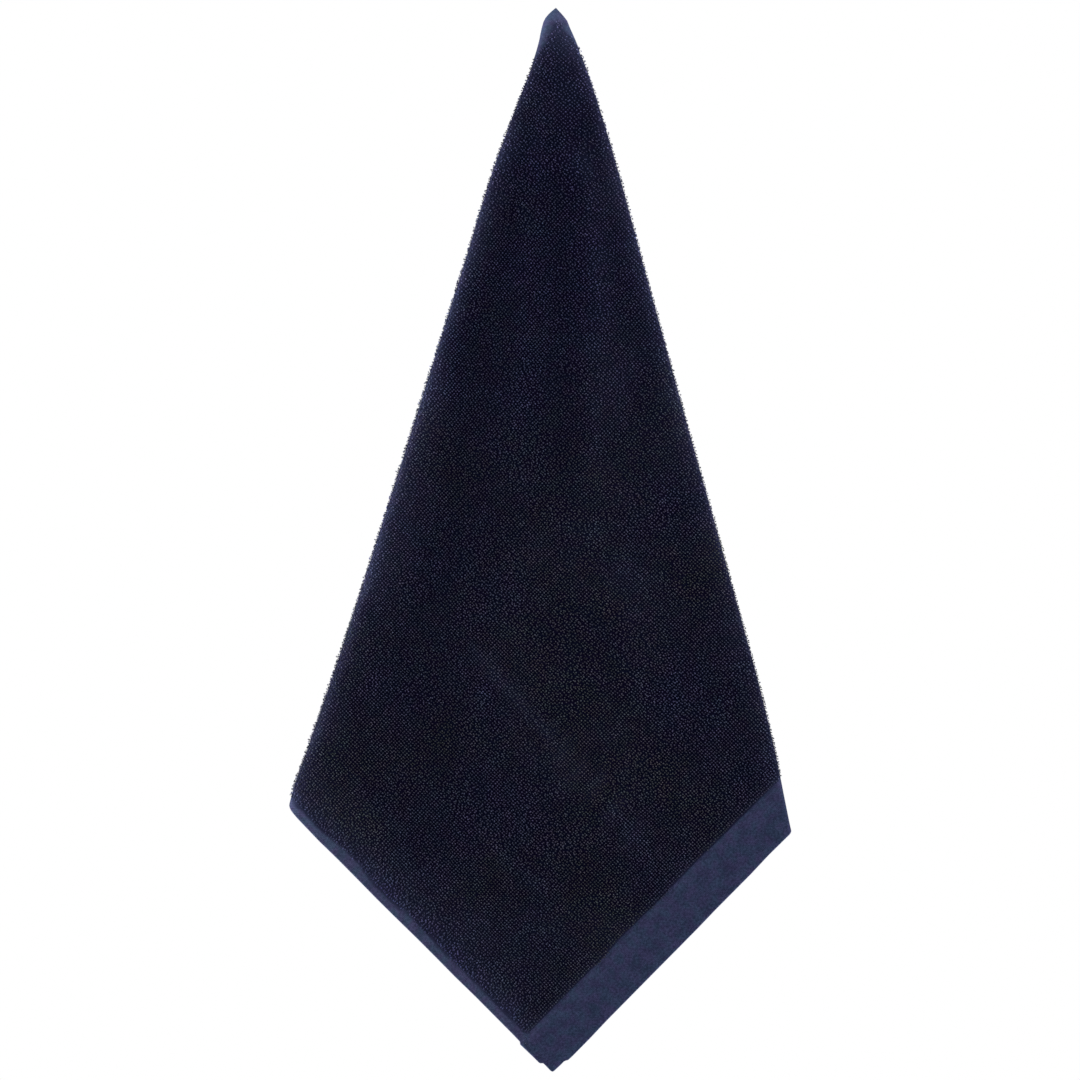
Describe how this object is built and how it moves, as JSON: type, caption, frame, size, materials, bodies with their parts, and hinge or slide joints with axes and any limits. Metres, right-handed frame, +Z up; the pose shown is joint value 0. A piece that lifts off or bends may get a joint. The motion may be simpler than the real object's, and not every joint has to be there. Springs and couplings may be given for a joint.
{
  "type": "tea towel",
  "caption": "Square navy terry tea towel hung by one corner, both side corners folded behind, with a plain woven band along one end.",
  "frame": {"origin": "tip of the corner that the towel hangs by", "axes": "+Z up, -Y out of the front, +X to the right as seen from the front"},
  "size_m": [0.3492, 0.0226, 0.7415],
  "materials": {
    "terry": "looped terry pile"
  },
  "bodies": {
    "root": {"towel": "terry"}
  },
  "joints": []
}
